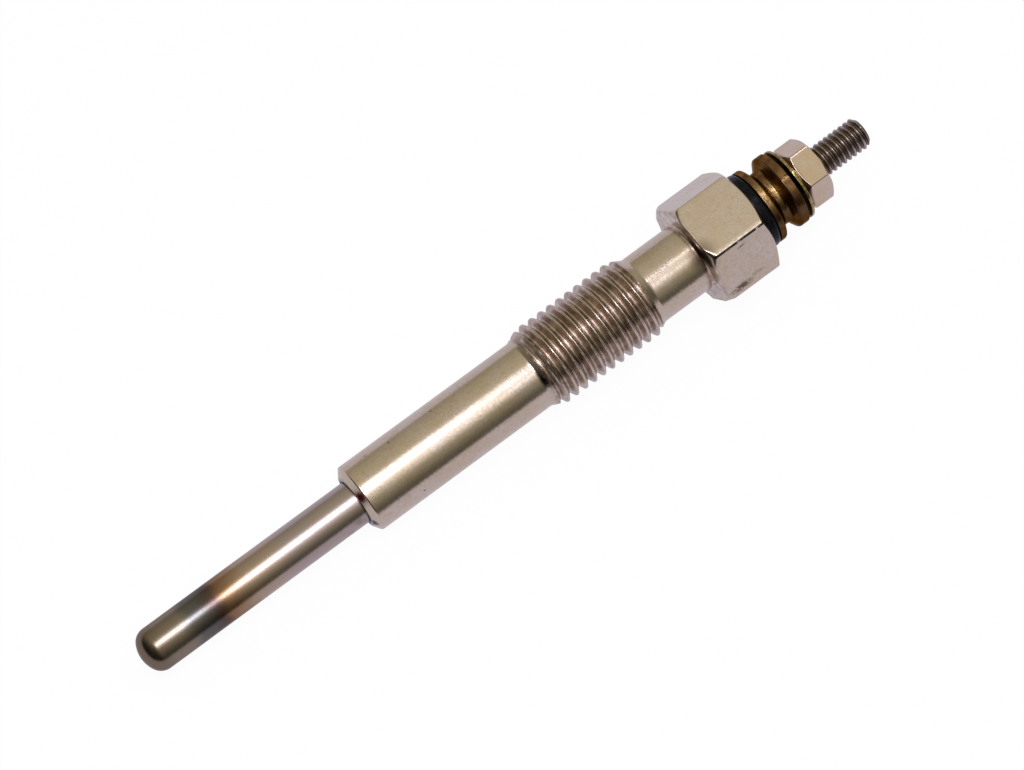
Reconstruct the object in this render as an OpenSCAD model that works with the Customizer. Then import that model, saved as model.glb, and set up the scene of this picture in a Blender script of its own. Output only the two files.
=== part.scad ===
// Sheathed diesel glow plug, in millimetres.
// Each piece is drawn upright about Z, with the tip of the glow tube at zero and the terminal at the top.
// The plug is then laid down as it comes to rest: on the rim of its nose and on one flat of its hexagon.

/* [Glow tube] */
// Outside diameter of the glow tube
tube_d = 5.2; // [4.8:0.1:5.6]
// Wall of the glow tube
tube_wall = 0.55; // [0.4:0.05:0.65]
// Length of the glow tube that stands out of the housing
tube_out = 28.6; // [26:0.2:34]
// Length of the glow tube pressed into the housing
tube_hold = 13; // [10:0.5:16]
// Radius of the corner where the wall turns in to the tip
tip_corner = 1.8; // [1.6:0.1:2]
// Radius of the low crown across the tip
tip_crown = 3.5; // [3:0.1:5]

/* [Coils] */
// Diameter of the coil wire
wire_d = 0.4; // [0.3:0.02:0.46]
// Diameter of both coils at the middle of the wire
coil_d = 2.3; // [2.1:0.05:2.5]
// Height of the first turn above the tip
coil_start = 1.4; // [1.3:0.05:2]
// Turns of the heating coil
heating_turns = 9; // [6:1:12]
// Pitch of the heating coil
heating_pitch = 0.8; // [0.7:0.05:0.9]
// Turns of the control coil
control_turns = 11; // [8:1:13]
// Pitch of the control coil
control_pitch = 1.3; // [1:0.05:1.4]

/* [Housing] */
// Diameter of the lower shank and of the neck
shank_d = 8.3; // [8:0.1:8.6]
// Length of the lower shank, from the nose to the thread
shank_len = 23.7; // [20:0.1:28]
// Length of the cone on the nose
nose_len = 0.65; // [0.4:0.05:1]
// How far the nose cone runs in from the shank's wall
nose_in = 0.95; // [0.6:0.05:1]
// Countersink round the tube at the nose
nose_sink = 0.25; // [0.1:0.05:0.4]
// Major diameter of the metric thread
thread_d = 9.9; // [9.7:0.05:10]
// Length of the thread with its run-in and run-out
thread_len = 15.8; // [14:0.1:20]
// Length over which the thread rises at its lower end
thread_run_in = 1.1; // [0.8:0.1:1.5]
// Length over which the thread fades at its upper end
thread_run_out = 1.5; // [1:0.1:2]
// Length of the neck between the thread and the hexagon
neck_len = 6.65; // [5:0.05:10]
// Fillet between the neck and the hexagon
foot_fillet = 0.3; // [0.1:0.05:0.5]
// Hexagon across flats
hex_af = 12; // [11.5:0.1:14]
// Length of the hexagon
hex_len = 7.65; // [6:0.05:9]
// How much wider the free bore is than the glow tube, each side
bore_step = 0.3; // [0.2:0.05:0.4]
// Diameter of the well in the top of the hexagon
well_d = 8; // [7.4:0.1:8.4]
// Depth of the well
well_depth = 5; // [4:0.1:6]

/* [Terminal] */
// Diameter of the electrode's rod
rod_d = 2.6; // [2.3:0.1:2.8]
// Diameter of the nib that the control coil sits on
nib_d = 1.5; // [1.2:0.1:1.5]
// Length of the nib inside the coil
nib_len = 2; // [1.5:0.1:3]
// Major diameter of the terminal stud's thread
stud_d = 3.85; // [3.8:0.05:4]
// Length of the stud beyond the nut
stud_out = 6.75; // [5:0.05:10]
// Chamfer on the stud's end
stud_chamfer = 0.45; // [0.3:0.05:0.6]
// Diameter of the black insulating ring
ring_d = 9.35; // [9:0.05:9.8]
// Thickness of the insulating ring
ring_t = 1.6; // [1.4:0.05:2]
// Radius on the outer edges of the insulating ring
ring_round = 0.5; // [0.3:0.05:0.65]
// Diameter of the round nut's lower rim
rim_d = 9.2; // [8.8:0.05:9.4]
// Diameter of the round nut's upper flange
flange_d = 9.1; // [8.8:0.05:9.4]
// Diameter at the bottom of the groove
groove_d = 6.8; // [6.4:0.1:7.2]
// Width of the groove at its mouth
groove_w = 2.2; // [1.8:0.05:2.6]
// How far the groove narrows on its upper side
groove_lean = 0.55; // [0.3:0.05:0.7]
// Height of the lower rim
rim_t = 0.75; // [0.5:0.05:1]
// Height of the upper flange
flange_t = 1.05; // [0.8:0.05:1.6]
// Break on the round nut's edges
round_nut_break = 0.1; // [0.05:0.01:0.2]
// Open gap between the round nut and the terminal nut
nut_gap = 0.45; // [0.2:0.05:0.8]
// Terminal nut across flats
nut_af = 7; // [6.8:0.1:7.2]
// Height of the terminal nut
nut_h = 3.8; // [3.4:0.05:4.5]
// Diameter of the terminal nut's flange
nut_flange_d = 8.85; // [8.6:0.05:9.2]
// Straight height of the nut flange's edge
nut_edge = 0.35; // [0.25:0.05:0.5]
// Height at which the nut's hexagon leaves the flange
nut_hex_start = 0.8; // [0.6:0.05:1]
// Countersink at the top of the nut's hole
nut_sink = 0.3; // [0.15:0.05:0.5]
// Turn of the terminal nut against the housing's hexagon
nut_turn = 11; // [-30:1:30]

/* [Seals and fits] */
// Height of the bung inside the tube
bung_in = 2.4; // [1.5:0.1:3.5]
// Thickness of the bung's rim on top of the tube
bung_rim = 0.6; // [0.4:0.05:1]
// Clearance between pieces that fit in each other
slip = 0.02; // [0.01:0.005:0.04]
// Room round the coil wire in the powder
wire_room = 0.04; // [0.02:0.01:0.06]

/* [Hidden] */
$fn = 96;
// Chamfer of a hexagon's ends, measured from the end face, and how far it starts inside the flats
hex_chamfer = 30;
hex_end_in = 0.1;
// Room outside a hexagon's corners for the turning that breaks them
hex_room = 0.2;
// How far cuts and cores reach past the faces that they meet
cut_over = 1;
// How far the nut flange's cone runs in under the flats
nut_foot_in = 0.3;
// Facets of the coils, along each turn and round the wire
turn_steps = 16;
wire_sides = 6;
// How far the wedge that bounds the tip's crown goes past the centre of the corner's arc
wedge_reach = 4;

// Radii
tube_r = tube_d / 2;
shank_r = shank_d / 2;
thread_r = thread_d / 2;
well_r = well_d / 2;
rod_r = rod_d / 2;
stud_r = stud_d / 2;
press_r = tube_r + slip;
bore_r = tube_r + bore_step;
hole_r = stud_r + slip;
rim_r = rim_d / 2;
flange_r = flange_d / 2;
groove_r = groove_d / 2;

// Centre of the arc at the tip's corner, which meets the crown without an edge
corner_x = tube_r - tip_corner;
corner_z = tip_crown - sqrt(pow(tip_crown - tip_corner, 2) - pow(corner_x, 2));

// Heights along the plug, from the tip upwards
nose_z = tube_out;
tube_top = tube_out + tube_hold;
thread_z = nose_z + shank_len;
thread_top = thread_z + thread_len;
hex_z = thread_top + neck_len;
hex_top = hex_z + hex_len;
well_floor = hex_top - well_depth;
ring_top = hex_top + ring_t;
rim_top = ring_top + rim_t;
flange_z = rim_top + groove_w;
round_nut_top = flange_z + flange_t;
nut_z = round_nut_top + nut_gap;
nut_top = nut_z + nut_h;
stud_end = nut_top + stud_out;
joint_z = coil_start + heating_turns * heating_pitch;
coil_end = joint_z + control_turns * control_pitch;
rod_z = coil_end + wire_d;
nib_z = rod_z - nib_len;
bung_z = tube_top - bung_in;
seal_r = (well_r - hole_r - slip) / 2;
seal_mid_r = (well_r - slip + hole_r) / 2;
sleeve_z = well_floor + 2 * seal_r + slip;
stud_z = well_floor - stud_r;

// Rest on a flat surface: the slope of the axis, its lift, and the middle of the length
rest_slope = atan((hex_af / 2 - shank_r) / (hex_z - nose_z - nose_len));
rest_lift = shank_r * cos(rest_slope) - (nose_z + nose_len) * sin(rest_slope);
far_x = stud_end * cos(rest_slope) + (stud_r - stud_chamfer) * sin(rest_slope);
near_x = tip_crown * (cos(rest_slope) - 1);

// Lays an upright piece down along +X, with the terminal raised by the rest slope.
module lie_down() {
  translate([-(near_x + far_x) / 2, 0, rest_lift])
    rotate([0, 90 - rest_slope, 0])
      children();
}

// Half section of the closed tube end, moved in from the outside by the inset, up to a height.
module tip_section(inset, top) {
  intersection() {
    union() {
      translate([0, corner_z])
        square([tube_r - inset, top - corner_z]);
      translate([corner_x, corner_z])
        circle(tip_corner - inset);
      intersection() {
        translate([0, tip_crown])
          circle(tip_crown - inset);
        polygon([[0, tip_crown], [0, -tip_crown],
                 [wedge_reach * corner_x, tip_crown - wedge_reach * (tip_crown - corner_z)]]);
      }
    }
    square([tube_r, top]);
  }
}

// Half section of a disc with rounded outer edges.
module rounded_disc(r, z, height, edge) {
  translate([0, z]) {
    square([r - edge, height]);
    translate([0, edge])
      square([r, height - 2 * edge]);
    for (middle = [edge, height - edge])
      translate([r - edge, middle])
        circle(edge);
  }
}

// Hexagonal bar with a flat towards +X, its corners turned off at the chosen ends.
module hex_bar(across, z, height, low, high) {
  corner_r = across / 2 / cos(30);
  end_r = across / 2 - hex_end_in;
  clear_r = corner_r + hex_room;
  drop = (clear_r - end_r) * tan(hex_chamfer);
  translate([0, 0, z])
    intersection() {
      translate([0, 0, -cut_over])
        rotate([0, 0, 30])
          cylinder(r = corner_r, h = height + 2 * cut_over, $fn = 6);
      rotate_extrude()
        polygon([[0, 0], [low ? end_r : clear_r, 0], [clear_r, low ? drop : 0],
                 [clear_r, height - (high ? drop : 0)], [high ? end_r : clear_r, height], [0, height]]);
    }
}

// Point on a wire wound as a helix: the angle along the coil and the angle round the wire.
function coil_point(wire_r, z, pitch, along, round) =
  let (r = coil_d / 2 + wire_r * cos(round))
    [r * cos(along), r * sin(along), z + pitch * along / 360 + wire_r * sin(round)];

// Round wire wound as a helix, with its ends in planes through the axis.
module coil(wire_r, z, pitch, turns) {
  steps = turns * turn_steps;
  rings = [for (i = [0:steps], j = [0:wire_sides - 1])
    coil_point(wire_r, z, pitch, 360 * i / turn_steps, 360 * j / wire_sides)];
  skin = [for (i = [0:steps - 1], j = [0:wire_sides - 1])
    let (a = i * wire_sides + j, b = i * wire_sides + (j + 1) % wire_sides)
      each [[a, b, b + wire_sides], [a, b + wire_sides, a + wire_sides]]];
  first = [for (j = [wire_sides - 1:-1:0]) j];
  last = [for (j = [0:wire_sides - 1]) steps * wire_sides + j];
  polyhedron(rings, concat(skin, [first, last]));
}

// Turned and milled steel body, bored right through, with a well for the seal at the top.
module housing() {
  color("#b9ae97")
    lie_down()
      difference() {
        union() {
          rotate_extrude() {
            polygon([[0, nose_z], [shank_r - nose_in, nose_z], [shank_r, nose_z + nose_len],
                     [shank_r, thread_z], [thread_r, thread_z + thread_run_in],
                     [thread_r, thread_top - thread_run_out], [shank_r, thread_top],
                     [shank_r, hex_z + cut_over], [0, hex_z + cut_over]]);
            translate([0, hex_z - foot_fillet])
              difference() {
                square([shank_r + foot_fillet, foot_fillet + cut_over]);
                translate([shank_r + foot_fillet, 0])
                  circle(foot_fillet);
              }
          }
          hex_bar(hex_af, hex_z, hex_len, false, true);
        }
        rotate_extrude() {
          polygon([[0, nose_z - cut_over], [press_r + nose_sink + cut_over, nose_z - cut_over],
                   [press_r, nose_z + nose_sink], [press_r, tube_top], [bore_r, tube_top],
                   [bore_r, well_floor], [well_r, well_floor], [well_r, hex_top + cut_over],
                   [0, hex_top + cut_over]]);
        }
      }
}

// Heat-proof steel tube, drawn shut at the tip.
module glow_tube() {
  color("#8d8377")
    lie_down()
      rotate_extrude()
        difference() {
          tip_section(0, tube_top);
          tip_section(tube_wall, tube_top);
        }
}

// Front coil, which heats the tip.
module heating_coil() {
  color("#9aa0a3")
    lie_down()
      coil(wire_d / 2, coil_start, heating_pitch, heating_turns);
}

// Rear coil, which carries on from the heating coil to the electrode.
module control_coil() {
  color("#a58c6f")
    lie_down()
      coil(wire_d / 2, joint_z, control_pitch, control_turns);
}

// Compacted powder round both coils and the lower end of the electrode.
module magnesia_fill() {
  color("#e8e4da")
    lie_down()
      difference() {
        rotate_extrude()
          tip_section(tube_wall + slip, bung_z);
        coil(wire_d / 2 + wire_room, coil_start, heating_pitch, heating_turns);
        coil(wire_d / 2 + wire_room, joint_z, control_pitch, control_turns);
        translate([0, 0, nib_z])
          cylinder(d = nib_d + 2 * slip, h = nib_len + cut_over);
        translate([0, 0, rod_z])
          cylinder(r = rod_r + slip, h = bung_z - rod_z + cut_over);
      }
}

// Bung in the tube's open end, with a rim that lies on the tube.
module tube_seal() {
  color("#7a2f22")
    lie_down()
      rotate_extrude()
        difference() {
          union() {
            translate([0, bung_z])
              square([tube_r - tube_wall - slip, bung_in]);
            translate([0, tube_top])
              square([tube_r, bung_rim]);
          }
          square([rod_r + slip, tube_top + bung_rim]);
        }
}

// Current rod with a nib for the coil at one end and the terminal stud at the other.
module centre_electrode() {
  color("#5b5148")
    lie_down()
      rotate_extrude()
        polygon([[0, nib_z], [nib_d / 2, nib_z], [nib_d / 2, rod_z], [rod_r, rod_z],
                 [rod_r, stud_z - stud_r + rod_r], [stud_r, stud_z], [stud_r, stud_end - stud_chamfer],
                 [stud_r - stud_chamfer, stud_end], [0, stud_end]]);
}

// Ring seal at the bottom of the well.
module body_seal() {
  color("#2b2b2b")
    lie_down()
      rotate_extrude()
        translate([seal_mid_r, well_floor + seal_r])
          circle(seal_r);
}

// Insulating bush: a sleeve in the well under a ring on top of the hexagon.
module insulating_bush() {
  color("#17171a")
    lie_down()
      rotate_extrude()
        difference() {
          union() {
            translate([0, sleeve_z])
              square([well_r - slip, hex_top - sleeve_z]);
            rounded_disc(ring_d / 2, hex_top, ring_t, ring_round);
          }
          square([hole_r, ring_top]);
        }
}

// Round nut with a groove between its rim and its flange.
module round_nut() {
  color("#9b7440")
    lie_down()
      rotate_extrude()
        polygon([[hole_r, ring_top], [rim_r, ring_top], [rim_r, rim_top - round_nut_break],
                 [rim_r - round_nut_break, rim_top], [groove_r, rim_top], [groove_r, flange_z - groove_lean],
                 [flange_r - round_nut_break, flange_z], [flange_r, flange_z + round_nut_break],
                 [flange_r, round_nut_top - round_nut_break], [flange_r - round_nut_break, round_nut_top],
                 [hole_r, round_nut_top]]);
}

// Flange nut on the terminal stud.
module terminal_nut() {
  edge_r = nut_flange_d / 2;
  under_r = nut_af / 2 - nut_foot_in;
  under_z = nut_edge + (nut_hex_start - nut_edge) * (edge_r - under_r) / (edge_r - nut_af / 2);
  color("#c2ab72")
    lie_down()
      difference() {
        union() {
          translate([0, 0, nut_z])
            rotate_extrude()
              polygon([[0, 0], [edge_r, 0], [edge_r, nut_edge], [under_r, under_z], [0, under_z]]);
          rotate([0, 0, nut_turn])
            hex_bar(nut_af, nut_z + nut_hex_start, nut_h - nut_hex_start, true, true);
        }
        translate([0, 0, nut_z])
          rotate_extrude()
            polygon([[0, -cut_over], [hole_r, -cut_over], [hole_r, nut_h - nut_sink],
                     [hole_r + nut_sink + cut_over, nut_h + cut_over], [0, nut_h + cut_over]]);
      }
}

housing();
glow_tube();
heating_coil();
control_coil();
magnesia_fill();
tube_seal();
centre_electrode();
body_seal();
insulating_bush();
round_nut();
terminal_nut();
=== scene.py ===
"""Diesel glow plug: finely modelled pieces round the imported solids, in a white studio."""
import math

import bpy
import numpy as np
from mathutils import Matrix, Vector


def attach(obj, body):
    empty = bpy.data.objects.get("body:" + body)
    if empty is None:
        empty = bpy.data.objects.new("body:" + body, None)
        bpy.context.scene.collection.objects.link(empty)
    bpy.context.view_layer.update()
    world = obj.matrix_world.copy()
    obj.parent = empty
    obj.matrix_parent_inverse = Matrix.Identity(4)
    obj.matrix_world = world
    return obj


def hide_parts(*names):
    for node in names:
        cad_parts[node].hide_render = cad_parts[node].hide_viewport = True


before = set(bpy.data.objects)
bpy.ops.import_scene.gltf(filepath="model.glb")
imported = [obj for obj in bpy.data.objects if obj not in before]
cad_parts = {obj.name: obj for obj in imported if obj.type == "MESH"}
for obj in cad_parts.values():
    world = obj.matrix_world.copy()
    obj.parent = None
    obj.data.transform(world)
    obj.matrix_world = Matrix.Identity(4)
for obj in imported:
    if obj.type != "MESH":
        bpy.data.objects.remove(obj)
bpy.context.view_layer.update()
MM = 0.001
SIXTH = math.radians(60)
SHARP_ANGLE = math.radians(32)
ROUND_STEPS = 128

# Glow tube, in millimetres
TUBE_R = 2.6
TUBE_WALL = 0.55
TUBE_OUT = 28.6
TUBE_HOLD = 13
TUBE_RIM_ROUND = 0.1
TUBE_ROWS_START = 4
TUBE_ROW_STEP = 1.0
TIP_CORNER = 1.8
TIP_CROWN = 3.5

# Housing
SHANK_R = 4.15
SHANK_LEN = 23.7
NOSE_LEN = 0.65
NOSE_IN = 0.95
NOSE_SINK = 0.25
NOSE_SINK_ROUND = 0.05
NOSE_FACE_ROUND = 0.2
NOSE_SIDE_ROUND = 0.25
THREAD_R = 4.95
THREAD_ROOT_R = 4.24
THREAD_PITCH = 1.25
THREAD_LEN = 15.8
THREAD_RUN_IN = 1.8
THREAD_RUN_OUT = 1.5
THREAD_ROWS = 28
THREAD_HOLD = 0.25
NECK_LEN = 6.65
FOOT_FILLET = 0.3
HEX_AF = 12
HEX_LEN = 7.65
HEX_EDGE = 0.2
HEX_END_IN = 0.1
HEX_LOW_EDGE = 0.4
HEX_LOW_R = 6.35
HEX_TOP_ROUND = 0.14
HEX_CHAMFER = math.radians(30)
BORE_STEP = 0.3
WELL_R = 4
WELL_DEPTH = 5

# Electrode, with the terminal stud's thread
NIB_R = 0.75
NIB_LEN = 2
ROD_R = 1.3
COIL_END = 22.9
WIRE_D = 0.4
STUD_R = 1.925
STUD_ROOT_R = 1.6
STUD_PITCH = 0.7
STUD_ROWS = 20
STUD_STEPS = 80
STUD_OUT = 6.75
STUD_CHAMFER = 0.45

# Insulating bush
SLIP = 0.02
SLEEVE_LIFT = 2.055
SLEEVE_ROUND = 0.1
RING_R = 4.675
RING_T = 1.6
RING_ROUND = 0.5
RING_ROUND_STEPS = 10

# Round nut
RIM_R = 4.6
RIM_T = 0.75
RIM_LOW_ROUND = 0.06
RIM_TOP_ROUND = 0.25
GROOVE_R = 3.4
GROOVE_W = 2.2
GROOVE_LEAN = 0.55
GROOVE_RIM_EASE = 0.6
GROOVE_FLANGE_EASE = 0.2
GROOVE_ROUND = 0.5
FLANGE_R = 4.55
FLANGE_T = 1.05
FLANGE_LOW_ROUND = 0.2
ROUND_NUT_BREAK = 0.1

# Terminal nut
NUT_GAP = 0.45
NUT_AF = 7
NUT_H = 3.8
NUT_FLANGE_R = 4.425
NUT_FLANGE_LOW_ROUND = 0.1
NUT_FLANGE_TOP_ROUND = 0.12
NUT_EDGE = 0.35
NUT_HEX_START = 0.8
NUT_HEX_EDGE = 0.25
NUT_HEX_END_ROUND = 0.08
NUT_SINK = 0.3
NUT_TURN = math.radians(11)

# Places along the plug, from the tip of the glow tube
NOSE_Z = TUBE_OUT
TUBE_TOP = TUBE_OUT + TUBE_HOLD
THREAD_Z = NOSE_Z + SHANK_LEN
THREAD_TOP = THREAD_Z + THREAD_LEN
HEX_Z = THREAD_TOP + NECK_LEN
HEX_TOP = HEX_Z + HEX_LEN
WELL_FLOOR = HEX_TOP - WELL_DEPTH
RING_TOP = HEX_TOP + RING_T
RIM_TOP = RING_TOP + RIM_T
FLANGE_Z = RIM_TOP + GROOVE_W
ROUND_NUT_TOP = FLANGE_Z + FLANGE_T
NUT_Z = ROUND_NUT_TOP + NUT_GAP
NUT_TOP = NUT_Z + NUT_H
STUD_END = NUT_TOP + STUD_OUT
PRESS_R = TUBE_R + SLIP
BORE_R = TUBE_R + BORE_STEP
HOLE_R = STUD_R + SLIP

# Rest on the nose's rim and on one flat of the hexagon
REST_SLOPE = math.atan((HEX_AF / 2 - SHANK_R) / (HEX_Z - NOSE_Z - NOSE_LEN))
REST_LIFT = SHANK_R * math.cos(REST_SLOPE) - (NOSE_Z + NOSE_LEN) * math.sin(REST_SLOPE)
FAR_X = STUD_END * math.cos(REST_SLOPE) + (STUD_R - STUD_CHAMFER) * math.sin(REST_SLOPE)
NEAR_X = TIP_CROWN * (math.cos(REST_SLOPE) - 1)
TIP_PLACE = (-(NEAR_X + FAR_X) / 2 * MM, 0, REST_LIFT * MM)
TIP_TURN = (0, math.pi / 2 - REST_SLOPE, 0)


# Shapes

def lie_down(points):
    """Upright points in millimetres, laid down as the plug rests, in metres."""
    x, y, z = points.T
    slope_sin, slope_cos = math.sin(REST_SLOPE), math.cos(REST_SLOPE)
    turned = np.stack([z * slope_cos + x * slope_sin, y, z * slope_sin - x * slope_cos], axis=1)
    return turned * MM + np.array(TIP_PLACE)


def arc(centre_r, centre_z, radius, start, end, steps):
    """Points on an arc of the section, with its angles in degrees from the outward direction."""
    turns = np.radians(np.linspace(start, end, steps + 1))
    return [(centre_r + radius * math.cos(t), centre_z + radius * math.sin(t)) for t in turns]


def rounded(corners, steps=6):
    """Section line through corners given as radius, height and edge radius, with each edge as an arc.

    A point close to each end of an arc keeps the walls beside it straight when they are shaded."""
    hold = 1.25
    line = []
    for i, (r, z, edge) in enumerate(corners):
        here = Vector((r, z))
        if not edge:
            line.append((r, z))
            continue
        back = (Vector(corners[i - 1][:2]) - here).normalized()
        ahead = (Vector(corners[i + 1][:2]) - here).normalized()
        half = back.angle(ahead) / 2
        centre = here + (back + ahead).normalized() * edge / math.sin(half)
        first = here + back * edge / math.tan(half) - centre
        last = here + ahead * edge / math.tan(half) - centre
        sweep = first.angle_signed(last)
        line.append(tuple(here + back * edge * hold / math.tan(half)))
        for k in range(steps + 1):
            turn = -sweep * k / steps
            line.append((centre.x + first.x * math.cos(turn) - first.y * math.sin(turn),
                         centre.y + first.x * math.sin(turn) + first.y * math.cos(turn)))
        line.append(tuple(here + ahead * edge * hold / math.tan(half)))
    return line


def even_angles(count):
    """Angles spread evenly round the axis."""
    return np.arange(count) * 2 * math.pi / count


def hex_edge_reach(across, edge):
    """Centre distance of a hexagon's rounded edge, and half the angle that the edge takes up."""
    centre = (across / 2 - edge) / math.cos(SIXTH / 2)
    return centre, math.atan2(edge * math.sin(SIXTH / 2), centre + edge * math.cos(SIXTH / 2))


def hex_angles(across, edge, turn, edge_steps=7, flat_steps=22):
    """Angles round a hexagon, close together on its rounded edges and even over its flats."""
    reach = hex_edge_reach(across, edge)[1]
    on_edge = np.linspace(-reach, reach, edge_steps)
    on_flat = np.linspace(reach, SIXTH - reach, flat_steps + 2)[1:-1]
    sector = np.concatenate([on_edge, on_flat])
    return np.concatenate([sector + turn + SIXTH * (k + 0.5) for k in range(6)])


def hex_radius(angles, across, edge, turn):
    """Distance of a hexagon's wall from the axis at each angle, with rounded edges."""
    centre, reach = hex_edge_reach(across, edge)
    off = np.abs((angles - turn) % SIXTH - SIXTH / 2)
    flat = across / 2 / np.cos(SIXTH / 2 - off)
    inner = np.maximum(edge ** 2 - (centre * np.sin(off)) ** 2, 0)
    return np.where(off < reach, centre * np.cos(off) + np.sqrt(inner), flat)


def chamfer_rows(wall_r, crease_z, edge, slope, upward, steps=4):
    """Rows over the soft edge between a hexagon's wall and its end.

    The slope is the angle between the chamfer and the end face."""
    side = 1 if upward else -1
    hold = 0.05
    sweep = math.pi / 2 - slope
    tangent = edge * math.tan(sweep / 2)
    reach = tangent + hold
    rows = [(wall_r, crease_z - side * reach)]
    for t in np.linspace(0, sweep, steps + 1):
        rows.append((wall_r - edge + edge * math.cos(t), crease_z + side * (edge * math.sin(t) - tangent)))
    rows.append((wall_r - reach * math.cos(slope), crease_z + side * reach * math.sin(slope)))
    return rows if upward else rows[::-1]


def soft_corner_rows(wall_r, end_z, turned_r, edge, steps=10):
    """Rows from a hexagon's lower end face to its wall, over a soft edge.

    The corners are turned off beyond a radius."""
    hold = 1.1
    cut = np.maximum(wall_r - turned_r, 0)
    rows = [(wall_r - cut - edge * hold, end_z)]
    for t in np.linspace(0, 1, steps + 1):
        near, far = (1 - t) ** 2 * (1 + 2 * t), t ** 2 * (3 - 2 * t)
        rows.append((wall_r - near * cut - (1 - t) ** 3 * edge, end_z + far * cut + t ** 3 * edge))
    rows.append((wall_r, end_z + cut + edge * hold))
    return rows


def thread_row(angles, z, crest, root, pitch):
    """Radius of a right-hand thread with rounded crests and roots, at one height."""
    crest_share, root_share, softness = 0.08, 0.88, 0.55
    phase = z / pitch - angles / (2 * math.pi)
    off_crest = np.abs(2 * (phase - np.floor(phase)) - 1)
    flank = np.clip((off_crest - crest_share) / (root_share - crest_share), 0, 1)
    eased = flank * flank * (3 - 2 * flank)
    return crest - (crest - root) * (softness * eased + (1 - softness) * flank)


def lathe(name, angles, rows, closed):
    """Piece made of rings round the plug's axis.

    A row is a radius and a height, each plain or one per angle."""
    count = len(angles)
    points, rings = [], []
    for r, z in rows:
        first = sum(map(len, rings))
        wide = np.broadcast_to(np.asarray(r, float), count)
        high = np.broadcast_to(np.asarray(z, float), count)
        if wide.max() == 0:
            rings.append([first])
            points.append(np.array([[0, 0, high[0]]]))
        else:
            rings.append(list(range(first, first + count)))
            points.append(np.stack([wide * np.cos(angles), wide * np.sin(angles), high], axis=1))
    faces = []
    for low, high in zip(rings, rings[1:] + (rings[:1] if closed else [])):
        for i in range(count):
            j = (i + 1) % count
            corners = [low[i % len(low)], low[j % len(low)], high[j % len(high)], high[i % len(high)]]
            faces.append(list(dict.fromkeys(corners)))
    mesh = bpy.data.meshes.new(name)
    mesh.from_pydata(lie_down(np.concatenate(points)).tolist(), [], faces)
    mesh.shade_smooth()
    mesh.set_sharp_from_angle(angle=SHARP_ANGLE)
    piece = bpy.data.objects.new(name, mesh)
    bpy.context.scene.collection.objects.link(piece)
    return piece


def tip_line(inset):
    """Section of the closed tube end from the axis out to the wall, moved in by the inset."""
    crown_steps, corner_steps = 10, 16
    corner_r = TUBE_R - TIP_CORNER
    corner_z = TIP_CROWN - math.sqrt((TIP_CROWN - TIP_CORNER) ** 2 - corner_r ** 2)
    join = math.degrees(math.atan2(corner_z - TIP_CROWN, corner_r))
    crown = arc(0, TIP_CROWN, TIP_CROWN - inset, -90, join, crown_steps)
    crown[0] = (0, inset)
    return crown + arc(corner_r, corner_z, TIP_CORNER - inset, join, 0, corner_steps)[1:]


def make_glow_tube():
    """Thin tube, drawn shut at the tip."""
    inner_r = TUBE_R - TUBE_WALL
    rim = rounded([(TUBE_R, NOSE_Z, 0), (TUBE_R, TUBE_TOP, TUBE_RIM_ROUND),
                   (inner_r, TUBE_TOP, TUBE_RIM_ROUND), (inner_r, NOSE_Z, 0)])
    wall = [(TUBE_R, z) for z in np.arange(TUBE_ROWS_START, NOSE_Z, TUBE_ROW_STEP)]
    line = tip_line(0) + wall + rim + tip_line(TUBE_WALL)[::-1]
    return lathe("glow_tube_finish", even_angles(ROUND_STEPS), line, closed=False)


def make_housing():
    """Turned and milled body with its rolled thread, bored through, with a well at the top."""
    angles = hex_angles(HEX_AF, HEX_EDGE, 0)
    wall_r = hex_radius(angles, HEX_AF, HEX_EDGE, 0)
    end_r = HEX_AF / 2 - HEX_END_IN
    nose = rounded([(PRESS_R, NOSE_Z + NOSE_SINK, 0), (PRESS_R + NOSE_SINK, NOSE_Z, NOSE_SINK_ROUND),
                    (SHANK_R - NOSE_IN, NOSE_Z, NOSE_FACE_ROUND),
                    (SHANK_R, NOSE_Z + NOSE_LEN, NOSE_SIDE_ROUND),
                    (SHANK_R, THREAD_Z - THREAD_HOLD, 0), (SHANK_R, THREAD_Z, 0)])
    thread = []
    for z in np.arange(THREAD_Z, THREAD_TOP, THREAD_PITCH / THREAD_ROWS)[1:]:
        rise = min((z - THREAD_Z) / THREAD_RUN_IN, (THREAD_TOP - z) / THREAD_RUN_OUT, 1)
        limit = SHANK_R + (THREAD_R - SHANK_R) * rise
        ridge = thread_row(angles, z, THREAD_R, THREAD_ROOT_R, THREAD_PITCH)
        thread.append((np.minimum(ridge, limit), z))
    neck = rounded([(SHANK_R, THREAD_TOP, 0), (SHANK_R, THREAD_TOP + THREAD_HOLD, 0),
                    (SHANK_R, HEX_Z, FOOT_FILLET), (end_r, HEX_Z, 0)])[:-1]
    low_edge = soft_corner_rows(wall_r, HEX_Z, HEX_LOW_R, HEX_LOW_EDGE)
    crease_z = HEX_TOP - (wall_r - end_r) * math.tan(HEX_CHAMFER)
    top = chamfer_rows(wall_r, crease_z, HEX_TOP_ROUND, HEX_CHAMFER, upward=True) + [(end_r, HEX_TOP)]
    inside = [(WELL_R, HEX_TOP), (WELL_R, WELL_FLOOR), (BORE_R, WELL_FLOOR), (BORE_R, TUBE_TOP),
              (PRESS_R, TUBE_TOP)]
    return lathe("housing_finish", angles, nose + thread + neck + low_edge + top + inside, closed=True)


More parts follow.
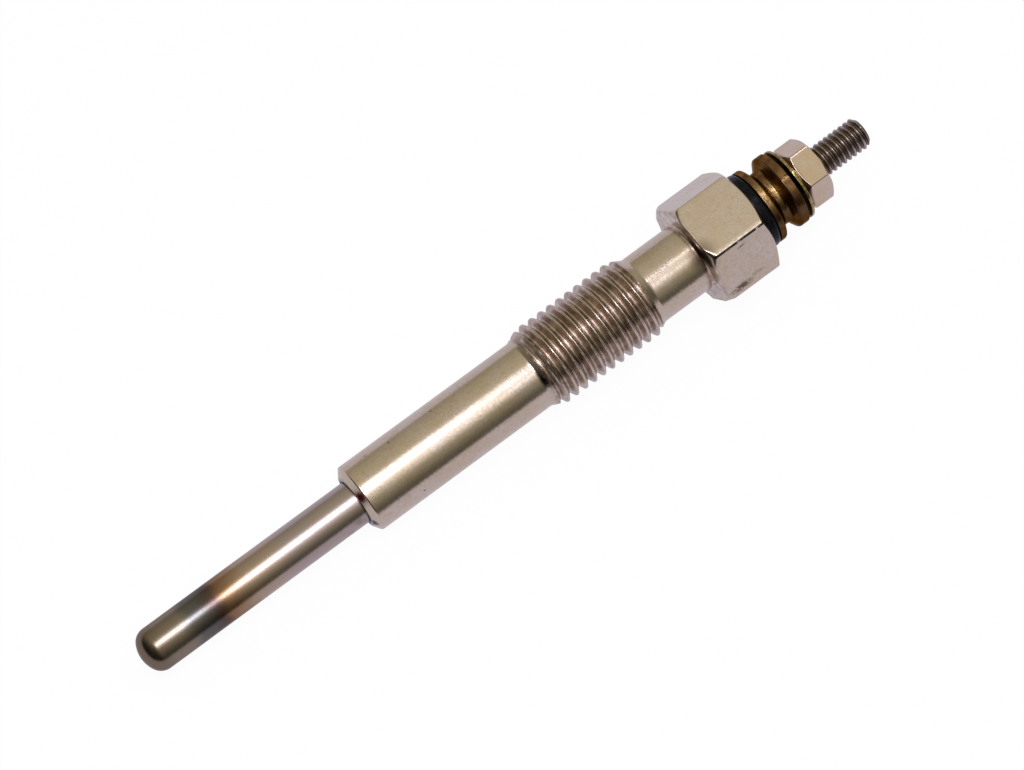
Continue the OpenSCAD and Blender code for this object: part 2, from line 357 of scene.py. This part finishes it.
def make_electrode():
    """Current rod with a nib at one end and the threaded terminal stud at the other."""
    angles = even_angles(STUD_STEPS)
    rod_z = COIL_END + WIRE_D
    stud_z = WELL_FLOOR - STUD_R
    rod = [(0, rod_z - NIB_LEN), (NIB_R, rod_z - NIB_LEN), (NIB_R, rod_z), (ROD_R, rod_z),
           (ROD_R, stud_z - STUD_R + ROD_R), (STUD_R, stud_z), (STUD_R, RING_TOP)]
    thread = []
    for z in np.arange(RING_TOP, STUD_END, STUD_PITCH / STUD_ROWS)[1:]:
        limit = min(STUD_R, STUD_R - STUD_CHAMFER + STUD_END - z)
        thread.append((np.minimum(thread_row(angles, z, STUD_R, STUD_ROOT_R, STUD_PITCH), limit), z))
    end = [(STUD_R - STUD_CHAMFER, STUD_END), (0, STUD_END)]
    return lathe("centre_electrode_finish", angles, rod + thread + end, closed=False)


def make_bush():
    """Insulating bush: a sleeve in the well under a ring with rounded edges."""
    sleeve_z = WELL_FLOOR + SLEEVE_LIFT
    line = rounded([(HOLE_R, sleeve_z, 0), (WELL_R - SLIP, sleeve_z, SLEEVE_ROUND),
                    (WELL_R - SLIP, HEX_TOP, 0), (RING_R, HEX_TOP, RING_ROUND),
                    (RING_R, RING_TOP, RING_ROUND), (HOLE_R, RING_TOP, 0)], RING_ROUND_STEPS)
    return lathe("insulating_bush_finish", even_angles(ROUND_STEPS), line, closed=True)


def make_round_nut():
    """Round nut with a groove between its rim and its flange."""
    line = rounded([(HOLE_R, RING_TOP, 0), (RIM_R, RING_TOP, RIM_LOW_ROUND), (RIM_R, RIM_TOP, RIM_TOP_ROUND),
                    (GROOVE_R, RIM_TOP + GROOVE_RIM_EASE, GROOVE_ROUND),
                    (GROOVE_R, FLANGE_Z - GROOVE_LEAN - GROOVE_FLANGE_EASE, GROOVE_ROUND),
                    (FLANGE_R, FLANGE_Z, FLANGE_LOW_ROUND), (FLANGE_R, ROUND_NUT_TOP, ROUND_NUT_BREAK),
                    (HOLE_R, ROUND_NUT_TOP, 0)])
    return lathe("round_nut_finish", even_angles(ROUND_STEPS), line, closed=True)


def make_terminal_nut():
    """Flange nut: a hexagon with turned ends on a coned flange."""
    angles = hex_angles(NUT_AF, NUT_HEX_EDGE, NUT_TURN)
    wall_r = hex_radius(angles, NUT_AF, NUT_HEX_EDGE, NUT_TURN)
    end_r = NUT_AF / 2 - HEX_END_IN
    hex_z = NUT_Z + NUT_HEX_START
    rise = math.tan(HEX_CHAMFER)
    fall = (NUT_HEX_START - NUT_EDGE) / (NUT_FLANGE_R - NUT_AF / 2)
    foot_r = (NUT_EDGE + fall * NUT_FLANGE_R - NUT_HEX_START + rise * end_r) / (rise + fall)
    foot_z = hex_z + rise * (foot_r - end_r)
    flange = rounded([(HOLE_R, NUT_Z, 0), (NUT_FLANGE_R, NUT_Z, NUT_FLANGE_LOW_ROUND),
                      (NUT_FLANGE_R, NUT_Z + NUT_EDGE, NUT_FLANGE_TOP_ROUND), (foot_r, foot_z, 0)])
    low_crease = hex_z + (wall_r - end_r) * rise
    high_crease = NUT_TOP - (wall_r - end_r) * rise
    low = chamfer_rows(wall_r, low_crease, NUT_HEX_END_ROUND, HEX_CHAMFER, upward=False)
    high = chamfer_rows(wall_r, high_crease, NUT_HEX_END_ROUND, HEX_CHAMFER, upward=True)
    top = [(end_r, NUT_TOP), (HOLE_R + NUT_SINK, NUT_TOP), (HOLE_R, NUT_TOP - NUT_SINK)]
    return lathe("terminal_nut_finish", angles, flange + low + high + top, closed=True)


# Materials

class Shading:
    """Short calls that add shader nodes to one node tree."""

    def __init__(self, tree):
        self.tree = tree

    def feed(self, socket, value):
        """Links another node's output to a socket, or sets the socket's own value."""
        if isinstance(value, bpy.types.NodeSocket):
            self.tree.links.new(value, socket)
        elif isinstance(value, tuple) and len(value) == 3 and socket.type == "RGBA":
            socket.default_value = (*value, 1)
        else:
            socket.default_value = value

    def math(self, operation, a, b):
        """One sum on two values."""
        node = self.tree.nodes.new("ShaderNodeMath")
        node.operation = operation
        self.feed(node.inputs[0], a)
        self.feed(node.inputs[1], b)
        return node.outputs[0]

    def product(self, first, *others):
        """Values multiplied together."""
        for other in others:
            first = self.math("MULTIPLY", first, other)
        return first

    def largest(self, first, *others):
        """The largest of some values."""
        for other in others:
            first = self.math("MAXIMUM", first, other)
        return first

    def scaled(self, value, low, high, to_low=0.0, to_high=1.0):
        """Value taken smoothly from one range to another, and held at its ends."""
        node = self.tree.nodes.new("ShaderNodeMapRange")
        node.interpolation_type = "SMOOTHSTEP"
        for name, number in zip(("From Min", "From Max", "To Min", "To Max"), (low, high, to_low, to_high)):
            node.inputs[name].default_value = number
        self.feed(node.inputs["Value"], value)
        return node.outputs["Result"]

    def split(self, vector):
        """The three parts of a vector."""
        node = self.tree.nodes.new("ShaderNodeSeparateXYZ")
        self.feed(node.inputs[0], vector)
        return node.outputs


class Paint(Shading):
    """Short calls that make one new material."""

    def __init__(self, name):
        self.material = bpy.data.materials.new(name)
        self.material.use_nodes = True
        super().__init__(self.material.node_tree)
        self.shader = self.tree.nodes["Principled BSDF"]

    def finish(self, **sockets):
        """Sets the shader's sockets, which are named in lower case with underscores for spaces."""
        for name, value in sockets.items():
            title = name.replace("_", " ").title().replace("Ior", "IOR")
            self.feed(self.shader.inputs[title], value)
        return self.material

    def vector(self, operation, a, b):
        """One sum on two vectors that gives a number."""
        node = self.tree.nodes.new("ShaderNodeVectorMath")
        node.operation = operation
        self.feed(node.inputs[0], a)
        self.feed(node.inputs[1], b)
        return node.outputs["Value"]

    def mix(self, share, a, b):
        """Colour between two colours.

        The node has several sockets of each name, so the ones for colours are taken by number."""
        share_in, first_in, second_in, colour_out = 0, 6, 7, 2
        node = self.tree.nodes.new("ShaderNodeMix")
        node.data_type = "RGBA"
        self.feed(node.inputs[share_in], share)
        self.feed(node.inputs[first_in], a)
        self.feed(node.inputs[second_in], b)
        return node.outputs[colour_out]

    def stain(self, colour, tint, mask, strength):
        """Colour with a tint laid over it where a mask is one, at a strength."""
        return self.mix(self.product(mask, strength), colour, tint)

    def ramp(self, value, stops):
        """Colour along a value, from stops of place and colour."""
        node = self.tree.nodes.new("ShaderNodeValToRGB")
        band = node.color_ramp.elements
        while len(band) < len(stops):
            band.new(0.5)
        for element, (place, colour) in zip(band, stops):
            element.position = place
            element.color = (*colour, 1)
        self.feed(node.inputs[0], value)
        return node.outputs[0]

    def noise(self, vector, scale, detail, roughness=0.55):
        """Cloudy pattern, with clouds about a millimetre wide at a scale of one."""
        node = self.tree.nodes.new("ShaderNodeTexNoise")
        self.feed(node.inputs["Vector"], vector)
        for name, number in (("Scale", scale), ("Detail", detail), ("Roughness", roughness)):
            node.inputs[name].default_value = number
        return node.outputs["Fac"]

    def rings(self, height, scale, detail=2.0):
        """Noise that changes along the axis only, as turning marks do."""
        node = self.tree.nodes.new("ShaderNodeTexNoise")
        node.noise_dimensions = "1D"
        self.feed(node.inputs["W"], height)
        node.inputs["Scale"].default_value = scale
        node.inputs["Detail"].default_value = detail
        return node.outputs["Fac"]

    def specks(self, vector, scale, size, share):
        """Small dots: a share of the cells of a cell pattern, each with a dot of a size within its cell."""
        core = 0.5
        node = self.tree.nodes.new("ShaderNodeTexVoronoi")
        self.feed(node.inputs["Vector"], vector)
        node.inputs["Scale"].default_value = scale
        chosen = self.math("LESS_THAN", self.split(node.outputs["Color"])[0], share)
        return self.product(self.scaled(node.outputs["Distance"], size, size * core), chosen)

    def joined(self, x, y, z):
        """Vector from its three parts."""
        node = self.tree.nodes.new("ShaderNodeCombineXYZ")
        for socket, value in zip(node.inputs, (x, y, z)):
            self.feed(socket, value)
        return node.outputs[0]

    def upright(self):
        """Place on the plug in millimetres, with the tip at zero and the axis along Z."""
        place = self.tree.nodes.new("ShaderNodeTexCoord").outputs["Object"]
        node = self.tree.nodes.new("ShaderNodeMapping")
        node.vector_type = "TEXTURE"
        self.feed(node.inputs["Vector"], place)
        node.inputs["Location"].default_value = TIP_PLACE
        node.inputs["Rotation"].default_value = TIP_TURN
        node.inputs["Scale"].default_value = (MM, MM, MM)
        return node.outputs[0]

    def off_axis(self, place):
        """Distance from the plug's axis, in millimetres."""
        x, y, _ = self.split(place)
        return self.vector("LENGTH", self.joined(x, y, 0.0), (0, 0, 0))

    def band(self, value, low, high, soft):
        """One between two values, and zero outside them."""
        return self.product(self.scaled(value, low - soft, low + soft),
                            self.scaled(value, high + soft, high - soft))

    def patch(self, place, around, z, radius, size, soft):
        """One near a point on the surface, given by its angle in degrees from the top towards the front."""
        turn = math.radians(around)
        point = (-radius * math.cos(turn), -radius * math.sin(turn), z)
        return self.scaled(self.vector("DISTANCE", place, point), size + soft, size - soft)

    def satin(self, pattern, low, high):
        """Roughness that follows a pattern between two values."""
        pattern_low, pattern_high = 0.2, 0.8
        return self.scaled(pattern, pattern_low, pattern_high, low, high)

    def bump(self, height, strength, depth):
        """Surface normal for a height pattern, with its depth in millimetres."""
        node = self.tree.nodes.new("ShaderNodeBump")
        node.inputs["Strength"].default_value = strength
        node.inputs["Distance"].default_value = depth * MM
        self.feed(node.inputs["Height"], height)
        return node.outputs[0]


def plated_steel():
    """Worn satin plating with a warm tone, brown dirt in the thread, a few stains, a painted highlight on
    one hexagon edge and painted shade under the nose.
    """
    p = Paint("plated_steel")
    khaki, pale, tan = (0.60, 0.49, 0.365), (0.62, 0.525, 0.44), (0.50, 0.39, 0.27)
    light_brown, dark_brown = (0.62, 0.51, 0.43), (0.33, 0.25, 0.195)
    grime, soot_and_shade, dirt = (0.10, 0.055, 0.03), (0.012, 0.009, 0.008), (0.2, 0.12, 0.08)
    dark_maroon, maroon, edge_highlight = (0.07, 0.026, 0.02), (0.42, 0.05, 0.08), (0.85, 0.74, 0.62)
    place = p.upright()
    x, y, z = p.split(place)
    section = p.joined(x, y, 0.0)
    off_axis = p.off_axis(place)
    broad = p.noise(place, scale=0.3, detail=4)
    fine = p.noise(place, scale=3.5, detail=5)
    blotch = p.noise(place, scale=1.6, detail=4)

    # Mottled plating
    colour = p.mix(p.scaled(broad, 0.35, 0.7), khaki, pale)
    colour = p.stain(colour, tan, p.scaled(fine, 0.45, 0.7), strength=0.55)
    colour = p.stain(colour, tan, p.scaled(blotch, 0.5, 0.7), strength=0.35)

    # Brown in the thread, below its crests, and specks of grime all over
    in_thread = p.band(z, low=THREAD_Z + 0.4, high=THREAD_TOP - 0.8, soft=0.3)
    below_crest = p.product(p.scaled(off_axis, THREAD_R - 0.015, THREAD_R - 0.12), in_thread)
    brown = p.mix(p.scaled(p.noise(place, scale=0.9, detail=4), 0.3, 0.65), light_brown, dark_brown)
    colour = p.stain(colour, brown, below_crest, strength=0.9)
    colour = p.stain(colour, grime, p.specks(place, scale=0.55, size=0.1, share=0.3), strength=0.7)

    # Stain and dirt at the hexagon's foot
    foot = p.patch(place, around=25, z=HEX_Z, radius=SHANK_R + 0.9, size=1.5, soft=0.9)
    colour = p.stain(colour, dark_maroon, p.product(foot, p.scaled(blotch, 0.15, 0.42)), strength=0.9)
    foot_band = p.band(z, low=HEX_Z - 0.5, high=HEX_Z + 0.15, soft=0.3)
    colour = p.stain(colour, dirt, p.product(foot_band, p.scaled(blotch, 0.35, 0.6)), strength=0.6)

    # Smears on the hexagon's front, each with its angle, height above the foot, size and strength
    squeeze = 0.3
    long_place = p.joined(x, y, p.product(z, squeeze))
    smears = []
    for around, up, size, strength in ((83, 2.15, 0.4, 0.9), (79, 4.45, 0.24, 0.5), (38, 3.85, 0.13, 0.9)):
        smear = p.patch(long_place, around, z=(HEX_Z + up) * squeeze, radius=HEX_AF / 2 + 0.5, size=size,
                        soft=0.5 * size + 0.05)
        smears.append(p.product(smear, p.scaled(fine, 0.3, 0.55), strength))
    colour = p.mix(p.largest(*smears), colour, grime)

    # Painted highlight along one edge of the hexagon, mixed towards a pale colour
    corner_r = HEX_AF / 2 + 0.8
    edge = p.patch(section, around=29, z=0, radius=corner_r, size=0.32, soft=0.12)
    edge = p.product(edge, p.band(z, low=HEX_Z + 0.3, high=HEX_TOP, soft=0.2))
    colour = p.stain(colour, edge_highlight, edge, strength=0.3)

    # Soot at the thread's start, along the edge and round the nose, painted shade under the nose where the
    # tube meets it, and a maroon spot on the nose
    stretch = 2.5
    drawn_out = p.joined(x, y, p.product(z, stretch))
    start = p.patch(drawn_out, around=33, z=stretch * (THREAD_Z + 0.2), radius=SHANK_R, size=0.9, soft=0.6)
    start = p.product(start, p.scaled(blotch, 0.3, 0.55), 0.9)
    line = p.patch(section, around=31.5, z=0, radius=corner_r, size=0.14, soft=0.06)
    line = p.product(line, p.scaled(blotch, 0.3, 0.45))
    nose_gap = p.product(p.scaled(off_axis, SHANK_R - NOSE_IN + 0.2, PRESS_R + 0.3),
                         p.scaled(z, NOSE_Z + 1, NOSE_Z + 0.2))
    # Painted shade on the lower side, where the tube meets the nose
    under_nose_shade = p.patch(place, around=80, z=NOSE_Z + 0.15, radius=SHANK_R - NOSE_IN, size=0.6, soft=0.3)
    colour = p.mix(p.largest(start, line, nose_gap, under_nose_shade), colour, soot_and_shade)
    nose_spot = p.patch(place, around=15, z=NOSE_Z + 0.2, radius=SHANK_R - 0.5, size=0.5, soft=0.25)
    colour = p.mix(nose_spot, colour, maroon)

    rough = p.math("ADD", p.satin(fine, low=0.17, high=0.25), p.product(below_crest, 0.08))
    height = p.math("ADD", p.product(p.rings(z, scale=9), 0.6), fine)
    return p.finish(base_color=colour, metallic=1.0, roughness=rough,
                    normal=p.bump(height, strength=0.7, depth=0.012))


def tube_steel():
    """Satin steel with the colours that heat leaves, from the tip onwards."""
    p = Paint("tube_steel")
    tint_end = 20
    waver = 0.5
    stops = [(0, (0.19, 0.135, 0.09)), (1.5, (0.20, 0.15, 0.10)), (3, (0.25, 0.195, 0.135)),
             (5.3, (0.245, 0.2, 0.145)), (6.8, (0.13, 0.12, 0.105)), (8.3, (0.105, 0.1, 0.09)),
             (9.2, (0.095, 0.068, 0.056)), (9.8, (0.115, 0.068, 0.05)), (10.7, (0.26, 0.135, 0.065)),
             (12.2, (0.35, 0.22, 0.125)), (14.2, (0.44, 0.325, 0.235)), (17, (0.45, 0.345, 0.27)),
             (tint_end, (0.43, 0.35, 0.31))]
    mottle, smudge_brown = (0.2, 0.16, 0.13), (0.1, 0.075, 0.06)
    clear, dulled = (1, 1, 1), (0.6, 0.55, 0.5)
    place = p.upright()
    z = p.split(place)[2]
    broad = p.noise(place, scale=0.5, detail=4)
    fine = p.noise(place, scale=5, detail=4)
    along = p.math("ADD", z, p.scaled(broad, 0.2, 0.8, -waver, waver))
    colour = p.ramp(p.math("DIVIDE", along, tint_end), [(at / tint_end, tint) for at, tint in stops])
    colour = p.stain(colour, mottle, p.scaled(fine, 0.5, 0.85), strength=0.3)
    smudge = p.patch(place, around=80, z=NOSE_Z - 1.2, radius=TUBE_R, size=1.2, soft=0.9)
    colour = p.stain(colour, smudge_brown, p.product(smudge, p.scaled(broad, 0.42, 0.6)), strength=0.6)
    height = p.math("ADD", p.rings(z, scale=8), p.product(fine, 0.5))
    return p.finish(base_color=colour, metallic=1.0, roughness=p.satin(fine, low=0.22, high=0.3),
                    specular_tint=p.mix(p.scaled(along, low=16, high=11), clear, dulled),
                    coat_weight=p.scaled(along, low=14, high=11, to_high=0.35), coat_roughness=0.24,
                    normal=p.bump(height, strength=0.12, depth=0.01))


def black_plastic():
    """Glossy moulded black ring with faint handling marks."""
    p = Paint("black_plastic")
    black, worn_black = (0.004, 0.004, 0.005), (0.012, 0.012, 0.014)
    fine = p.noise(p.upright(), scale=2.5, detail=5)
    return p.finish(base_color=p.mix(p.scaled(fine, 0.4, 0.8), black, worn_black),
                    roughness=p.scaled(fine, 0.25, 0.8, 0.16, 0.3), specular_ior_level=0.1,
                    normal=p.bump(fine, strength=0.2, depth=0.01))


def brass():
    """Turned brass, tarnished brown, with dark nicks, painted shade in the groove, on the flange's lower
    face and towards the front, and a painted golden highlight at the top.
    """
    p = Paint("brass")
    light, dark, gold = (0.25, 0.14, 0.058), (0.12, 0.062, 0.028), (0.68, 0.46, 0.2)
    groove_shade, front_shade = (0.075, 0.034, 0.015), (0.06, 0.032, 0.018)
    mottle, nick_brown = (0.12, 0.065, 0.03), (0.03, 0.015, 0.008)
    place = p.upright()
    x, y, z = p.split(place)
    section = p.joined(x, y, 0.0)
    broad = p.noise(place, scale=0.7, detail=4)
    fine = p.noise(place, scale=4, detail=5)
    colour = p.mix(p.scaled(broad, 0.35, 0.7), light, dark)
    # Painted shade: darker in the groove and on the flange's lower face
    groove = p.scaled(p.off_axis(place), RIM_R - 0.25, GROOVE_R + 0.3)
    flange_face = p.band(z, low=FLANGE_Z - 0.35, high=FLANGE_Z + 0.12, soft=0.06)
    colour = p.mix(p.largest(p.product(groove, 0.35), p.product(flange_face, 0.6)), colour, groove_shade)
    # Painted shade: darker towards the front side
    colour = p.stain(colour, front_shade, p.scaled(y, -1.5, -3.8), strength=0.6)
    colour = p.stain(colour, mottle, p.scaled(fine, 0.5, 0.8), strength=0.4)
    nick = p.patch(section, around=4, z=0, radius=RIM_R, size=0.16, soft=0.08)
    colour = p.stain(colour, nick_brown, p.product(nick, p.scaled(fine, 0.3, 0.55)), strength=0.8)
    # Painted highlight: a golden patch near the top of the rim and groove
    golden_highlight = p.product(p.patch(section, around=8, z=0, radius=GROOVE_R + 0.5, size=1.3, soft=0.8),
                     p.scaled(z, FLANGE_Z - 0.5, FLANGE_Z - 0.8), p.scaled(fine, 0.3, 0.6))
    colour = p.stain(colour, gold, golden_highlight, strength=0.65)
    height = p.math("ADD", p.rings(z, scale=7), p.product(fine, 0.5))
    return p.finish(base_color=colour, metallic=1.0, roughness=p.satin(fine, low=0.18, high=0.3),
                    specular_tint=(0.55, 0.45, 0.37), normal=p.bump(height, strength=0.3, depth=0.012))


def yellow_zinc():
    """Yellow passivated zinc: golden on the flange, pinkish on the flats and dark under the hexagon."""
    p = Paint("yellow_zinc")
    yellow, pink, mottle = (0.60, 0.47, 0.33), (0.62, 0.50, 0.43), (0.42, 0.29, 0.17)
    light_gold, dark_gold, shade = (0.52, 0.40, 0.15), (0.28, 0.18, 0.07), (0.045, 0.028, 0.014)
    place = p.upright()
    x, y, z = p.split(place)
    broad = p.noise(place, scale=0.55, detail=3)
    fine = p.noise(place, scale=4, detail=5)
    squeeze = 0.15
    streaks = p.noise(p.joined(x, y, p.product(z, squeeze)), scale=5, detail=3)
    gold = p.mix(p.scaled(streaks, 0.35, 0.65), light_gold, dark_gold)
    flange = p.scaled(z, NUT_Z + NUT_HEX_START + 0.25, NUT_Z + NUT_EDGE)
    colour = p.mix(flange, p.mix(p.scaled(broad, 0.35, 0.68), yellow, pink), gold)
    colour = p.stain(colour, mottle, p.scaled(fine, 0.5, 0.8), strength=0.35)
    under_hex = p.product(p.band(z, low=NUT_Z + 0.5, high=NUT_Z + 1.05, soft=0.15),
                          p.scaled(p.off_axis(place), NUT_AF / 2 + 0.5, NUT_AF / 2 + 0.1))
    underside = p.scaled(z, NUT_Z + 0.12, NUT_Z + 0.02)
    colour = p.mix(p.largest(p.product(under_hex, 0.4), p.product(underside, 0.9)), colour, shade)
    height = p.math("ADD", p.rings(z, scale=6), fine)
    return p.finish(base_color=colour, metallic=1.0, roughness=p.satin(fine, low=0.08, high=0.14),
                    normal=p.bump(height, strength=0.05, depth=0.01))


def dark_steel():
    """Darkened steel with brown in the thread's roots."""
    p = Paint("dark_steel")
    light, dark, root_brown = (0.48, 0.41, 0.36), (0.28, 0.22, 0.18), (0.12, 0.08, 0.06)
    place = p.upright()
    fine = p.noise(place, scale=4, detail=5)
    root = p.scaled(p.off_axis(place), STUD_R - 0.04, STUD_ROOT_R + 0.12)
    colour = p.mix(p.scaled(fine, 0.35, 0.75), light, dark)
    colour = p.stain(colour, root_brown, root, strength=0.85)
    rough = p.math("ADD", p.satin(fine, low=0.17, high=0.27), p.product(root, 0.2))
    return p.finish(base_color=colour, metallic=1.0, roughness=rough,
                    normal=p.bump(fine, strength=0.3, depth=0.01))


def plain_finish(name, light, dark, scale, metallic, low_rough, high_rough):
    """Mottled finish for the pieces inside the plug."""
    p = Paint(name)
    grain = p.noise(p.upright(), scale, detail=5)
    return p.finish(base_color=p.mix(p.scaled(grain, 0.35, 0.7), light, dark), metallic=metallic,
                    roughness=p.scaled(grain, 0.25, 0.75, low_rough, high_rough),
                    normal=p.bump(grain, strength=0.4, depth=0.02))


# Pieces in their places

def dress(piece, node, material):
    """A finished piece that stands for a CAD node."""
    piece.data.materials.append(material)
    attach(piece, "root")
    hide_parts(node)


dress(make_housing(), "housing", plated_steel())
dress(make_glow_tube(), "glow_tube", tube_steel())
dress(make_electrode(), "centre_electrode", dark_steel())
dress(make_bush(), "insulating_bush", black_plastic())
dress(make_round_nut(), "round_nut", brass())
dress(make_terminal_nut(), "terminal_nut", yellow_zinc())

WIRE = {"scale": 6, "metallic": 1.0, "low_rough": 0.3, "high_rough": 0.45}
POWDER = {"scale": 3, "metallic": 0.0, "low_rough": 0.8, "high_rough": 0.95}
RUBBER = {"scale": 3, "metallic": 0.0, "low_rough": 0.5, "high_rough": 0.7}
INSIDE = {
    "heating_coil": plain_finish("heating_wire", (0.5, 0.5, 0.5), (0.38, 0.37, 0.36), **WIRE),
    "control_coil": plain_finish("control_wire", (0.5, 0.45, 0.38), (0.38, 0.33, 0.27), **WIRE),
    "magnesia_fill": plain_finish("magnesia", (0.86, 0.84, 0.8), (0.74, 0.71, 0.66), **POWDER),
    "tube_seal": plain_finish("red_rubber", (0.35, 0.1, 0.07), (0.25, 0.07, 0.05), **RUBBER),
    "body_seal": plain_finish("black_rubber", (0.03, 0.03, 0.03), (0.05, 0.05, 0.05), **RUBBER),
}
for node, material in INSIDE.items():
    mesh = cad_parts[node].data
    mesh.materials.clear()
    mesh.materials.append(material)


# Studio

LAMP_COLOUR = (0.78, 0.8, 1)
LAMP_TURN = math.radians(-22)

# Soft lamps: name, place and size in metres, turn, and radiance
LAMPS = (
    ("tip_core", (-0.038, -0.014, 0.3), (0.072, 0.068), LAMP_TURN, 11),
    ("tube_core", (0.0085, -0.035, 0.3), (0.02, 0.07), LAMP_TURN, 4),
    ("tube_spread", (-0.03, -0.02, 0.301), (0.08, 0.18), LAMP_TURN, 2.8),
    ("body_core", (0.055, -0.118, 0.3), (0.066, 0.06), 0, 1.3),
    ("body_spread", (0.055, -0.115, 0.301), (0.066, 0.2), 0, 0.8),
    ("stud_end", (0.135, 0.02, 0.301), (0.078, 0.03), 0, 8),
)


def make_floor():
    """White floor that stays white to the camera and in the metal, and keeps the plug's shadow."""
    half = 3
    paper = (0.84, 0.83, 0.84)
    glows = (("Is Glossy Ray", 0.8, (0.74, 0.72, 0.86)), ("Is Camera Ray", 0.93, (1.03, 1.03, 1.03)))
    mesh = bpy.data.meshes.new("floor")
    mesh.from_pydata([(-half, -half, 0), (half, -half, 0), (half, half, 0), (-half, half, 0)], [],
                     [(0, 1, 2, 3)])
    floor = bpy.data.objects.new("floor", mesh)
    bpy.context.scene.collection.objects.link(floor)
    paint = Paint("floor_white")
    tree = paint.tree
    path = tree.nodes.new("ShaderNodeLightPath")
    diffuse = tree.nodes.new("ShaderNodeBsdfDiffuse")
    paint.feed(diffuse.inputs["Color"], paper)
    surface = diffuse.outputs[0]
    for ray, share, glow in glows:
        white = tree.nodes.new("ShaderNodeEmission")
        paint.feed(white.inputs["Color"], glow)
        mixed = tree.nodes.new("ShaderNodeMixShader")
        paint.feed(mixed.inputs[0], paint.product(path.outputs[ray], share))
        paint.feed(mixed.inputs[1], surface)
        paint.feed(mixed.inputs[2], white.outputs[0])
        surface = mixed.outputs[0]
    tree.nodes.remove(paint.shader)
    paint.feed(tree.nodes["Material Output"].inputs["Surface"], surface)
    mesh.materials.append(paint.material)


def make_room():
    """Warm room: lighter behind the plug, and dark low down in front of it and beyond its tip."""
    tint = (1.0, 0.95, 0.78)
    back_low, back_rise = 0.37, 0.3
    front_low, front_rise = 0.1, 0.72
    tip_share = 0.2
    world = bpy.data.worlds.new("room")
    world.use_nodes = True
    bpy.context.scene.world = world
    room = Shading(world.node_tree)
    background = room.tree.nodes["Background"]
    x, y, z = room.split(room.tree.nodes.new("ShaderNodeTexCoord").outputs["Generated"])
    behind = room.product(room.scaled(y, low=-0.25, high=0.3), room.scaled(x, low=-0.8, high=-0.1))
    in_front = room.math("SUBTRACT", 1.0, behind)
    level = room.math("MAXIMUM", z, 0.0)
    beyond_tip = room.scaled(x, low=-0.45, high=0.08, to_low=tip_share)
    front_light = room.math("ADD", room.product(level, level, front_rise), front_low)
    front_light = room.product(front_light, beyond_tip)
    back_light = room.math("ADD", room.product(level, back_rise), back_low)
    light = room.math("ADD", room.product(back_light, behind), room.product(front_light, in_front))
    room.feed(background.inputs["Color"], tint)
    room.feed(background.inputs["Strength"], light)


def add_softbox(name, place, size, turn, radiance):
    """Rectangular soft lamp that faces straight down, out of the camera's sight."""
    lamp = bpy.data.lights.new(name, "AREA")
    lamp.shape = "RECTANGLE"
    lamp.size, lamp.size_y = size
    lamp.energy = radiance * math.pi * size[0] * size[1]
    lamp.color = LAMP_COLOUR
    holder = bpy.data.objects.new(name, lamp)
    holder.location = place
    holder.rotation_euler.z = turn
    holder.visible_camera = False
    bpy.context.scene.collection.objects.link(holder)


def make_camera():
    """Camera at the photograph's viewing angle."""
    azimuth, elevation = math.radians(-37.383), math.radians(69.511)
    distance, lens, clip_start = 0.42, 133.65, 0.01
    aim_right, aim_up = 0.31 * MM, 2.23 * MM
    back = Vector((math.sin(azimuth) * math.cos(elevation), -math.cos(azimuth) * math.cos(elevation),
                   math.sin(elevation)))
    right = Vector((0, 0, 1)).cross(back).normalized()
    up = back.cross(right)
    camera = bpy.data.objects.new("camera", bpy.data.cameras.new("camera"))
    camera.data.lens = lens
    camera.data.clip_start = clip_start
    camera.location = right * aim_right + up * aim_up + back * distance
    camera.rotation_mode = "QUATERNION"
    camera.rotation_quaternion = (-back).to_track_quat("-Z", "Y")
    bpy.context.scene.collection.objects.link(camera)
    bpy.context.scene.camera = camera


make_floor()
make_room()
for lamp_values in LAMPS:
    add_softbox(*lamp_values)
make_camera()
bpy.context.scene.view_settings.view_transform = "Standard"
